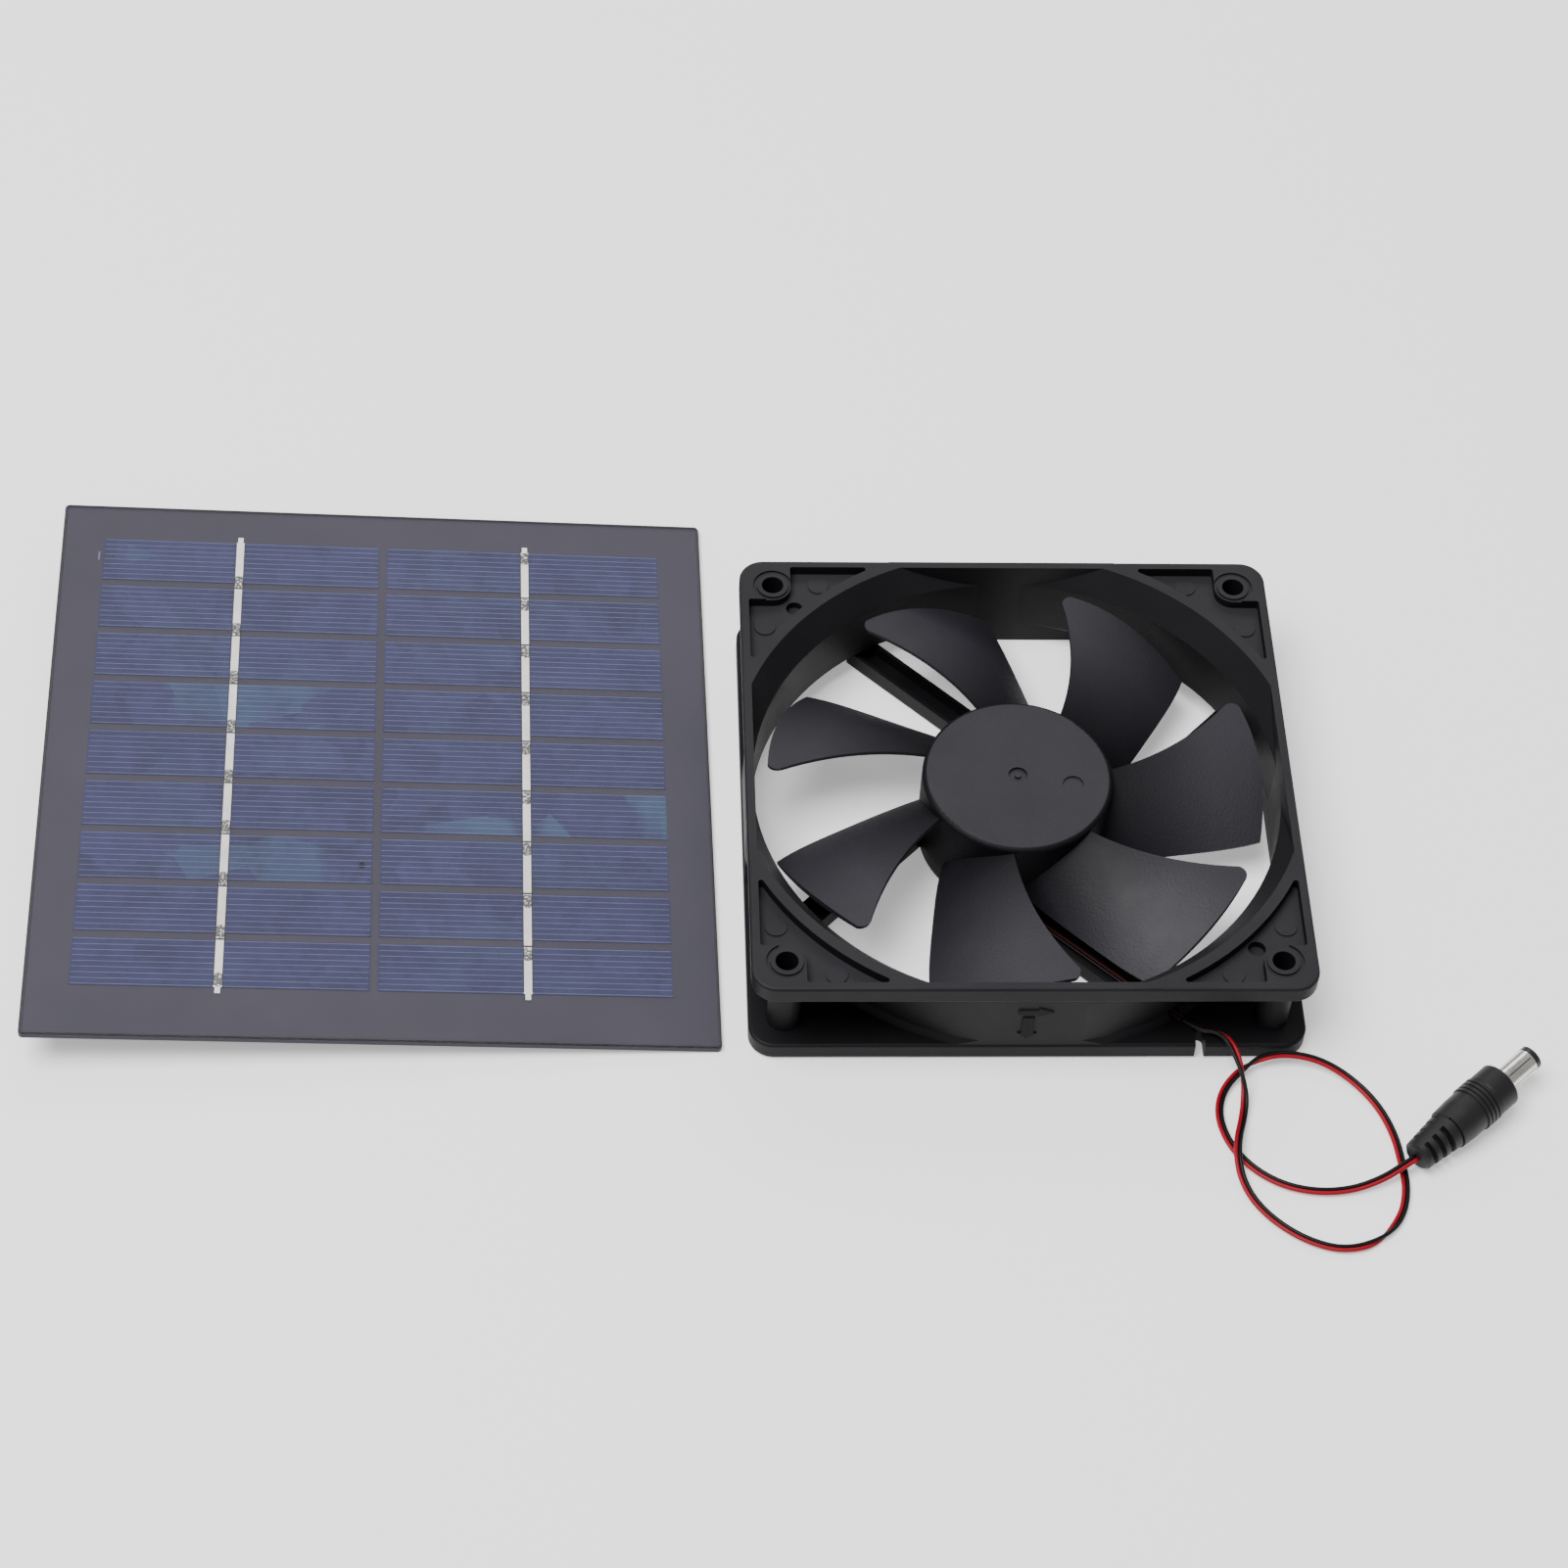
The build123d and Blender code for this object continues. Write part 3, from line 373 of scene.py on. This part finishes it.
def make_materials():
    """One material for each of the record's slots, and those of the pieces made here."""
    return {
        "housing": moulded("housing_plastic", HOUSING, 0.48, 1800.0, gloss=0.11, top_light=HOUSING_TOP_LIGHT),
        # The impeller is painted darker beside its hub: painted shade.
        "impeller": moulded("impeller_plastic", IMPELLER, 0.56, 1600.0, 0.00007, 0.36, root_shade=0.35),
        "bearing": metal("turned_brass", (0.72, 0.55, 0.27), 0.30, 1500.0, (1, 1, 30)),
        "bronze": metal("sintered_bronze", (0.50, 0.34, 0.18), 0.48, 3000.0),
        "bearing_cap": moulded("cap_plastic", (0.04, 0.04, 0.04), 0.45),
        "thrust": moulded("thrust_plastic", (0.55, 0.50, 0.42), 0.40),
        "label": moulded("label_film", (0.55, 0.56, 0.57), 0.35, 600.0, 0.000004),
        "lamination": metal("lamination_steel", (0.42, 0.43, 0.45), 0.42, 900.0, (1, 1, 60)),
        "insulator": moulded("insulator_nylon", (0.78, 0.77, 0.71), 0.45),
        "copper": metal("enamelled_copper", (0.62, 0.25, 0.11), 0.28, 2600.0, (1, 1, 3), 0.00006),
        "circuit": weave("circuit_mask", (0.012, 0.13, 0.045), 0.30),
        "chip": moulded("chip_epoxy", (0.018, 0.018, 0.018), 0.45),
        "ceramic": moulded("capacitor_ceramic", (0.42, 0.30, 0.17), 0.40),
        "diode_body": moulded("diode_epoxy", (0.022, 0.022, 0.022), 0.40),
        "pins": metal("tinned_pins", (0.72, 0.72, 0.70), 0.30),
        "lead_red": moulded("red_insulation", (0.25, 0.003, 0.011), 0.40, 1500.0, 0.00001, 0.2),
        # A darker copy of the red insulation, for the red lead in the housing's channel: painted
        # shade.
        "lead_red_shaded": moulded("red_insulation_shaded", (0.04, 0.003, 0.005), 0.5, gloss=0.15),
        "lead_black": moulded(
            "black_insulation", (0.004, 0.004, 0.0045), 0.42, 1500.0, 0.00001, 0.18
        ),
        "yoke": metal("yoke_steel", (0.40, 0.40, 0.41), 0.36),
        "magnet": moulded("bonded_ferrite", (0.05, 0.05, 0.054), 0.60),
        "shaft": metal("ground_steel", (0.72, 0.72, 0.73), 0.16),
        "clip": moulded("clip_plastic", (0.74, 0.74, 0.68), 0.42),
        "plug_grip": moulded("plug_grip_plastic", (0.010, 0.010, 0.011), 0.45, 1500.0, gloss=0.25),
        "plug_nickel": metal("plug_nickel", NICKEL, 0.20, 1400.0, (1, 1, 8)),
        "plug_tip": moulded("plug_tip_plastic", (0.012, 0.012, 0.012), 0.30),
        "plug_contact": metal("contact_plating", (0.68, 0.58, 0.34), 0.26),
        "board": weave("black_laminate", (0.024, 0.0210, 0.033), 0.46),
        "filler": clear("clear_resin", (0.80, 0.82, 0.84), 0.04, 0.30),
        "film": clear("clear_film", (0.50, 0.50, 0.57), 0.03, 0.42),
        "cell": silicon("silicon", 0.15, 0.35),
        "ribbon": metal("tinned_ribbon", (0.96, 0.92, 0.90), 0.42, 700.0, depth=0.00005),
        "box": moulded("box_plastic", (0.020, 0.020, 0.021), 0.45),
        "socket_body": moulded("socket_plastic", (0.016, 0.016, 0.017), 0.38),
        "socket_metal": metal("socket_nickel", NICKEL, 0.22),
        "diode_axial": moulded("axial_diode_epoxy", (0.02, 0.02, 0.02), 0.38),
        "finger": metal("printed_silver", (0.18, 0.20, 0.35), 0.45),
        "solder": solder("solder"),
        "stain": moulded("stain_dark", (0.001, 0.001, 0.005), 0.6, gloss=0.05),
        "joint": moulded("joint_shade", (0.006, 0.006, 0.006), 0.6),
        "arrow": moulded("arrow_plastic", (0.003, 0.003, 0.0035), 0.5, gloss=0.08),
        "seam_top": moulded("seam_shade", (0.03, 0.022, 0.018), 0.6),
        "seam_side": moulded("seam_brown", (0.16, 0.10, 0.06), 0.6),
    }


# Shares of teal and dark stain on the cells that have more than the others.
STAINED_CELLS = {
    "cell_left_1": (0.45, 0.5),
    "cell_left_4": (0.75, 0.3),
    "cell_left_7": (0.55, 0.8),
    "cell_right_6": (0.95, 0.3),
}


def dress_nodes(materials):
    """Gives every CAD node its slot's material, and the stained cells theirs."""
    slots = {part["node"]: part["material_slot"] for part in frame["record"]["subparts"]}
    slots["lead_cord"] = "lead_black"
    # The red lead in the housing gets the darker copy of the red: painted shade where the blades
    # shadow it.
    slots["lead_red"] = "lead_red_shaded"
    for name, node in nodes.items():
        material = materials[slots[name]]
        if name in STAINED_CELLS:
            material = silicon(f"silicon_{name}", *STAINED_CELLS[name])
        node.data.materials.clear()
        node.data.materials.append(material)


# ---------------------------------------------------------------- pieces
def add_piece(name, vertices, faces, body, materials, indices=None):
    """A new mesh piece, riding on a body."""
    mesh = bpy.data.meshes.new(name)
    mesh.from_pydata([tuple(v) for v in vertices], [], faces)
    for material in materials:
        mesh.materials.append(material)
    if indices is not None:
        mesh.polygons.foreach_set("material_index", indices)
    mesh.update()
    piece = bpy.data.objects.new(name, mesh)
    bpy.context.scene.collection.objects.link(piece)
    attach(piece, body)
    return piece


def loop_faces(low, high, count):
    """The faces between two closed loops of vertices, numbered from low and from high."""
    faces = []
    for k in range(count):
        after = (k + 1) % count
        faces.append((low + k, low + after, high + after, high + k))
    return faces


def ring_faces(first, count, sides):
    """The side faces of a tube whose rings follow each other."""
    faces = []
    for ring in range(count - 1):
        faces += loop_faces(first + ring * sides, first + (ring + 1) * sides, sides)
    return faces


def rounded_outline(width, depth, corner, z, steps=6):
    """The corners of a rounded rectangle, anticlockwise."""
    points = []
    for quarter, (sx, sy) in enumerate(((1, 1), (-1, 1), (-1, -1), (1, -1))):
        for step in range(steps + 1):
            turn = pi / 2 * (quarter + step / steps)
            x = sx * (width / 2 - corner) + corner * cos(turn)
            y = sy * (depth / 2 - corner) + corner * sin(turn)
            points.append((x, y, z))
    return points


def boxes(parts):
    """Vertices and faces of many small boxes, each (x0, x1, y0, y1, z0, z1)."""
    vertices, faces = [], []
    for x0, x1, y0, y1, z0, z1 in parts:
        n = len(vertices)
        vertices += [(x0, y0, z0), (x1, y0, z0), (x1, y1, z0), (x0, y1, z0)]
        vertices += [(x0, y0, z1), (x1, y0, z1), (x1, y1, z1), (x0, y1, z1)]
        faces += [(n + 3, n + 2, n + 1, n), (n + 4, n + 5, n + 6, n + 7)]
        for a in range(4):
            b = (a + 1) % 4
            faces.append((n + a, n + b, n + b + 4, n + a + 4))
    return vertices, faces


# ---------------------------------------------------------------- twin lead
LEAD_EXIT = (33.15, -53.85, 5.6)
LEAD_ROUTE = [
    (36.6, -57.1, 6.0),
    (39.7, -57.6, 6.5),
    (42.3, -59.9, 7.0),
    (43.8, -63.9, 6.5),
    (45.0, -68.0, 4.4),
    (45.3, -72.2, 1.9),
    (44.3, -77.0, 1.3),
    (42.7, -82.1, 2.7),
    (42.0, -87.0, 2.9),
    (42.6, -91.7, 1.4),
    (44.8, -97.0, 0.8),
    (49.1, -102.3, 0.8),
    (55.0, -106.6, 0.8),
    (62.0, -108.9, 0.8),
    (69.5, -107.2, 0.8),
    (75.2, -101.3, 0.8),
    (77.3, -94.3, 0.8),
    (77.1, -87.7, 0.8),
    (76.4, -80.4, 0.8),
    (73.9, -73.0, 0.8),
    (69.3, -66.8, 1.2),
    (63.2, -62.7, 2.4),
    (56.6, -61.1, 3.0),
    (50.3, -61.5, 2.8),
    (44.9, -64.6, 1.9),
    (41.0, -68.9, 0.9),
    (39.4, -74.4, 0.8),
    (40.1, -80.0, 0.8),
    (42.5, -85.3, 0.8),
    (46.8, -90.1, 0.8),
    (52.5, -93.4, 0.8),
    (59.2, -94.7, 0.8),
    (66.1, -94.1, 0.9),
    (72.2, -92.2, 2.0),
    (76.2, -90.1, 3.1),
]
PLUG_AT = (79.6, -88.0, 3.65)
PLUG_AZIMUTH = 40.4
PLUG_RISE = 5.3
CORE_R = 0.46
CORE_SIDES = 14
CORE_OFFSET = 0.45
CORE_CLOSER = 0.12
FIRST_TURN = -0.88
FIRST_ROLL = 10.5
FIRST_ROLL_W = 5.0
# Where the pair rolls half over: near which place, over what length, and which way.
TWISTS = [((45.0, -68.5), 13.0, -1), ((70.5, -105.5), 13.0, 1), ((47.5, -62.5), 10.0, -1)]
TWIST_NEAR = 2.5


def lead_path():
    """Points read from the lead's smooth line, in metres."""
    route = [LEAD_EXIT, *LEAD_ROUTE, PLUG_AT]
    curve = bpy.data.curves.new("lead_line", "CURVE")
    curve.dimensions = "3D"
    curve.resolution_u = 12
    spline = curve.splines.new("NURBS")
    spline.points.add(len(route) - 1)
    for point, place in zip(spline.points, route):
        point.co = (*(c * MM for c in place), 1.0)
    spline.order_u = 3
    spline.use_endpoint_u = True
    line = bpy.data.objects.new("lead_line", curve)
    mesh = bpy.data.meshes.new_from_object(line)
    path = np.array([v.co[:] for v in mesh.vertices])
    bpy.data.objects.remove(line)
    bpy.data.meshes.remove(mesh)
    return path


def eased(lengths, middle, width):
    """A smooth step from 0 to 1 over a width in millimetres, about a middle in metres."""
    share = np.clip((lengths - middle) / (width * MM) + 0.5, 0, 1)
    return share * share * (3 - 2 * share)


def twist_angle(path, lengths):
    """How far the pair has rolled at each point: 0 has red on the left, half a turn on the right.

    It leaves the housing rolled back a little, with the black core over the red.
    """
    angle = FIRST_TURN * (1 - eased(lengths, FIRST_ROLL * MM, FIRST_ROLL_W))
    start = 0
    for (x, y), width, way in TWISTS:
        away = np.hypot(path[:, 0] - x * MM, path[:, 1] - y * MM)
        away[:start] = 1.0
        near = away < TWIST_NEAR * MM
        first = int(np.argmax(near))
        last = first + int(np.argmin(near[first:]))
        place = first + int(np.argmin(away[first:last]))
        start = last
        angle += way * pi * eased(lengths, lengths[place], width)
    return angle


def make_lead(materials):
    """The red and black pair, side by side, rolling over three times on its way."""
    path = lead_path()
    ahead = np.gradient(path, axis=0)
    ahead /= np.linalg.norm(ahead, axis=1)[:, None]
    left = np.cross((0, 0, 1), ahead)
    left /= np.linalg.norm(left, axis=1)[:, None]
    above = np.cross(ahead, left)
    steps = np.linalg.norm(np.diff(path, axis=0), axis=1)
    lengths = np.concatenate(([0], np.cumsum(steps)))
    roll = twist_angle(path, lengths)[:, None]
    side = np.cos(roll) * left + np.sin(roll) * above
    up = np.cos(roll) * above - np.sin(roll) * left
    sides = CORE_SIDES
    vertices, faces, indices = [], [], []
    for core, sign in enumerate((1, -1)):
        first = len(vertices)
        apart = (CORE_OFFSET - CORE_CLOSER * np.abs(np.sin(roll))) * MM
        middle = path + side * sign * apart
        for place, across, over in zip(middle, side, up):
            for step in range(sides):
                turn = 2 * pi * step / sides
                vertices.append(place + (across * cos(turn) + over * sin(turn)) * CORE_R * MM)
        new = ring_faces(first, len(path), sides)
        new.append(tuple(range(first + sides - 1, first - 1, -1)))
        new.append(tuple(range(len(vertices) - sides, len(vertices))))
        faces += new
        indices += [core] * len(new)
    pair = [materials["lead_red"], materials["lead_black"]]
    lead = add_piece("twin_lead", vertices, faces, "fan", pair, indices)
    lead.data.polygons.foreach_set("use_smooth", [True] * len(faces))
    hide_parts("lead_cord")


# ---------------------------------------------------------------- arrows on the housing
ARROW_Y = (-60.01, -59.9)
# Each arrow's middle, its turn in degrees, and its length, head width, shaft width and head length.
ARROWS = {
    "spin_arrow_face": ((0.3, 16.7), 0, (7.6, 2.8, 1.3, 3.3)),
    "flow_arrow_face": ((-1.1, 10.9), -90, (7.6, 4.2, 2.6, 2.1)),
}


def make_arrows(materials):
    """The flat faces of the two moulded arrows, a little darker than the housing."""
    for name, ((x, z), turn, (length, width, shaft_w, head)) in ARROWS.items():
        neck = length / 2 - head
        points = [(-length / 2, -shaft_w / 2), (neck, -shaft_w / 2), (neck, -width / 2)]
        points += [(length / 2, 0), *((px, -py) for px, py in points[::-1])]
        a = radians(turn)
        flat = [(x + px * cos(a) - py * sin(a), z + px * sin(a) + py * cos(a)) for px, py in points]
        vertices = [(px * MM, y * MM, pz * MM) for y in ARROW_Y for px, pz in flat]
        count = len(flat)
        faces = [tuple(range(count)), tuple(range(2 * count - 1, count - 1, -1))]
        faces += [face[::-1] for face in loop_faces(0, count, count)]
        add_piece(name, vertices, faces, "fan", [materials["arrow"]])


# ---------------------------------------------------------------- plug
BARREL_R = 2.75
SEAM_FROM = 27.6
SEAM_TO = 34.3
SEAM_W = 0.26
SEAM_RADII = (BARREL_R - 0.05, BARREL_R + 0.02)
SEAM_ANGLES = {"seam_top": 108, "seam_side": 168}
BAND_FROM = 34.75
BAND_TO = 35.1
BAND_RADII = (BARREL_R + 0.01, BARREL_R + 0.03)
BAND_SIDES = 48


def make_seams(materials):
    """The rolled barrel's seam, a fainter one on its side, and the tip's lip over its end."""
    rise = radians(PLUG_RISE)
    turn = radians(PLUG_AZIMUTH)
    axis = Vector((cos(rise) * cos(turn), cos(rise) * sin(turn), sin(rise)))
    across = Vector((-sin(turn), cos(turn), 0))
    above = axis.cross(across)
    start = Vector(PLUG_AT)
    for name, angle in SEAM_ANGLES.items():
        half = SEAM_W / 2 / BARREL_R
        vertices = []
        for along in (SEAM_FROM, SEAM_TO):
            for radius in SEAM_RADII:
                for side in (-half, half):
                    a = radians(angle) + side
                    out = across * cos(a) + above * sin(a)
                    vertices.append((start + axis * along + out * radius) * MM)
        faces = [(0, 2, 3, 1), (4, 5, 7, 6), (0, 1, 5, 4), (2, 6, 7, 3), (0, 4, 6, 2), (1, 3, 7, 5)]
        add_piece(name, vertices, faces, "fan", [materials[name]])

    low, high = BAND_RADII
    vertices, faces = [], []
    for ring, (along, radius) in enumerate(
        ((BAND_FROM, low), (BAND_FROM, high), (BAND_TO, high), (BAND_TO, low))
    ):
        for step in range(BAND_SIDES):
            a = 2 * pi * step / BAND_SIDES
            out = across * cos(a) + above * sin(a)
            vertices.append((start + axis * along + out * radius) * MM)
        faces += loop_faces(ring * BAND_SIDES, (ring + 1) % 4 * BAND_SIDES, BAND_SIDES)
    add_piece("tip_band", vertices, faces, "fan", [materials["plug_tip"]])


# ---------------------------------------------------------------- solar panel
PANEL_W = 148.0
PANEL_D = 150.0
PANEL_AT = (-140.9, 15.3)
PANEL_YAW = 1.0
PANEL_TILT = 3.69
BOARD_TOP = 1.2
CELL_TOP = 1.4
CELL_COLUMNS = 2
CELL_ROWS = 9
CELL_W = 63.3
CELL_PITCH_X = 65.0
CELL_PITCH_Y = 14.29
FIELD_AT = (-0.2, 1.4)
FINGERS = 9
FINGER_PITCH = 1.4775
FINGER_W = 0.10
FINGER_H = 0.02
FINGER_END = 0.25
RIBBON_OUT = 0.45
RIBBON_LOW = 1.5
SEGMENT_TOP = 6.1
SEGMENT_LOW = -7.7
LAST_SHORTER = 1.6
BLOB_W = 1.7
BLOB_D = 3.6
BLOB_H = 0.13
BLOB_RINGS = ((0.0, 0.0), (0.6, 0.12), (0.9, 0.35), (1.0, 0.65))
JOINT_W = 2.1
JOINT_D = 0.4
JOINT_TOP = 1.53
# The painted shade along both edges of each ribbon: its width, its top, and how much shorter it is
# at the front end.
EDGE_W = 0.2
EDGE_TOP = 1.515
EDGE_SHORTER = 1.9
CHIP_OUT = 1.0
CHIP_SIZE = (0.3, 2.5, 0.03)
CHIP_BACK = 0.2
STAIN_AT = (29.4, -1.3)
STAIN_SIZE = (1.3, 1.8)
STAIN_CORNER = 0.585
STAIN_H = 0.01
GLAZE_UNDER = 1.68
GLAZE_TOP = 1.8
GLAZE_ROUND = 0.15
GLAZE_WALL = 0.3
# The painted shade under the film's edge: its insets from the panel's outside, and its top.
RIM_OUT = 0.31
RIM_IN = 0.60
RIM_TOP = 1.66


def panel_place():
    """The panel's own frame: from its millimetres to the scene's metres."""
    place = Matrix.Translation((PANEL_AT[0] * MM, PANEL_AT[1] * MM, 0))
    place = place @ Matrix.Rotation(radians(PANEL_YAW), 4, "Z")
    place = place @ Matrix.Translation((PANEL_W / 2 * MM, 0, 0))
    place = place @ Matrix.Rotation(radians(PANEL_TILT), 4, "Y")
    return place @ Matrix.Translation((-PANEL_W / 2 * MM, 0, 0)) @ Matrix.Scale(MM, 4)


def add_on_panel(name, vertices, faces, slot, material):
    """A piece on the panel, from vertices in the panel's own millimetres."""
    place = panel_place()
    vertices = [place @ Vector(v) for v in vertices]
    return add_piece(name, vertices, faces, "panel", [material])


def row_y(row):
    """The middle of a row of cells, counted from the back."""
    return FIELD_AT[1] + ((CELL_ROWS - 1) / 2 - row) * CELL_PITCH_Y


def ribbon_x(column):
    """The middle of a column's ribbon."""
    return FIELD_AT[0] + (2 * column - 1) * (CELL_PITCH_X / 2 + RIBBON_OUT)


def make_fingers(materials):
    """The printed silver fingers across each cell."""
    half = CELL_W / 2 - FINGER_END
    for column, side in enumerate(("left", "right")):
        x = FIELD_AT[0] + (column - 0.5) * CELL_PITCH_X
        lines = []
        for row in range(CELL_ROWS):
            for finger in range(FINGERS):
                y = row_y(row) + (finger - (FINGERS - 1) / 2) * FINGER_PITCH
                low, high = y - FINGER_W / 2, y + FINGER_W / 2
                lines.append((x - half, x + half, low, high, CELL_TOP, CELL_TOP + FINGER_H))
        add_on_panel(f"fingers_{side}", *boxes(lines), "ribbon", materials["finger"])


def make_solder(materials):
    """The lumpy solder at one end of each length of ribbon: low on the left, high on the right."""
    vertices, faces = [], []
    for column in range(CELL_COLUMNS):
        x = ribbon_x(column)
        for row in range(CELL_ROWS):
            y = row_y(row) + (SEGMENT_TOP - BLOB_D / 2 if column else SEGMENT_LOW + BLOB_D / 2)
            if not column and row == CELL_ROWS - 1:
                y += LAST_SHORTER
            first = len(vertices)
            for height, shrink in BLOB_RINGS:
                w, d = BLOB_W - 2 * shrink, BLOB_D - 2 * shrink
                ring = rounded_outline(w, d, w / 3, RIBBON_LOW + height * BLOB_H)
                vertices += [(px + x, py + y, pz) for px, py, pz in ring]
            count = len(ring)
            faces.append(tuple(range(first + count - 1, first - 1, -1)))
            faces += ring_faces(first, len(BLOB_RINGS), count)
            faces.append(tuple(range(len(vertices) - count, len(vertices))))
    add_on_panel("solder_blobs", vertices, faces, "ribbon", materials["solder"])


def make_joints(materials):
    """The dark gaps between the lengths of ribbon, and painted shade: thin dark strips along both
    edges of each ribbon.
    """
    gaps = []
    for column in range(CELL_COLUMNS):
        x = ribbon_x(column)
        half = JOINT_W / 2
        for row in range(CELL_ROWS - 1):
            high = row_y(row) + SEGMENT_LOW
            gaps.append((x - half, x + half, high - JOINT_D, high, CELL_TOP, JOINT_TOP))
        low = row_y(CELL_ROWS - 1) + SEGMENT_LOW + EDGE_SHORTER
        high = row_y(0) + SEGMENT_TOP
        # Painted shade: a thin dark strip along each side of the ribbon.
        for left in (x - half, x + half - EDGE_W):
            gaps.append((left, left + EDGE_W, low, high, CELL_TOP, EDGE_TOP))
    add_on_panel("ribbon_joints", *boxes(gaps), "ribbon", materials["joint"])


def make_marks(materials):
    """A pale chip beside the first cell and a dark stain on the seventh, both on the left."""
    wide, deep, high = CHIP_SIZE
    x = FIELD_AT[0] - CELL_PITCH_X / 2 - CELL_W / 2 - CHIP_OUT - wide / 2
    y = row_y(0) - CHIP_BACK
    chip = boxes([(x, x + wide, y, y + deep, BOARD_TOP, BOARD_TOP + high)])
    add_on_panel("pale_chip", *chip, "ribbon", materials["finger"])

    x = FIELD_AT[0] - CELL_PITCH_X / 2 + STAIN_AT[0]
    y = row_y(6) + STAIN_AT[1]
    vertices = []
    for z in (CELL_TOP, CELL_TOP + STAIN_H):
        ring = rounded_outline(*STAIN_SIZE, STAIN_CORNER, z)
        vertices += [(px + x, py + y, pz) for px, py, pz in ring]
    count = len(ring)
    faces = [tuple(range(count - 1, -1, -1)), tuple(range(count, 2 * count))]
    faces += loop_faces(0, count, count)
    add_on_panel("dark_stain", vertices, faces, "cell", materials["stain"])


def make_rim(materials):
    """Painted shade: a thin dark line all round under the edge of the clear film."""
    section = ((RIM_OUT, BOARD_TOP), (RIM_OUT, RIM_TOP), (RIM_IN, RIM_TOP), (RIM_IN, BOARD_TOP))
    vertices = []
    for inset, z in section:
        ring = rounded_outline(PANEL_W - 2 * inset, PANEL_D - 2 * inset, 0.7, z)
        vertices += ring
    count = len(ring)
    faces = ring_faces(0, len(section), count) + loop_faces(3 * count, 0, count)
    add_on_panel("rim_shade", vertices, faces, "board", materials["joint"])


def make_glaze(materials):
    """The clear front: a film that turns down round the edge, hollow over the cells."""
    section = (
        (GLAZE_WALL, 0.8, GLAZE_UNDER),
        (GLAZE_WALL, 0.8, BOARD_TOP),
        (0.0, 1.0, BOARD_TOP),
        (0.0, 1.0, GLAZE_TOP - GLAZE_ROUND),
        (GLAZE_ROUND, 1.0, GLAZE_TOP),
    )
    vertices = []
    for inset, corner, z in section:
        ring = rounded_outline(PANEL_W - 2 * inset, PANEL_D - 2 * inset, corner, z)
        vertices += ring
    count = len(ring)
    faces = [tuple(range(count - 1, -1, -1))]
    faces += ring_faces(0, len(section), count)
    faces.append(tuple(range(len(vertices) - count, len(vertices))))
    glaze = add_on_panel("clear_front", vertices, faces, "film", materials["film"])
    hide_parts("front_film", "encapsulant")


# ---------------------------------------------------------------- all of it
materials = make_materials()
make_camera()
make_studio()
dress_nodes(materials)
make_lead(materials)
make_arrows(materials)
make_seams(materials)
make_fingers(materials)
make_solder(materials)
make_joints(materials)
make_marks(materials)
make_rim(materials)
make_glaze(materials)
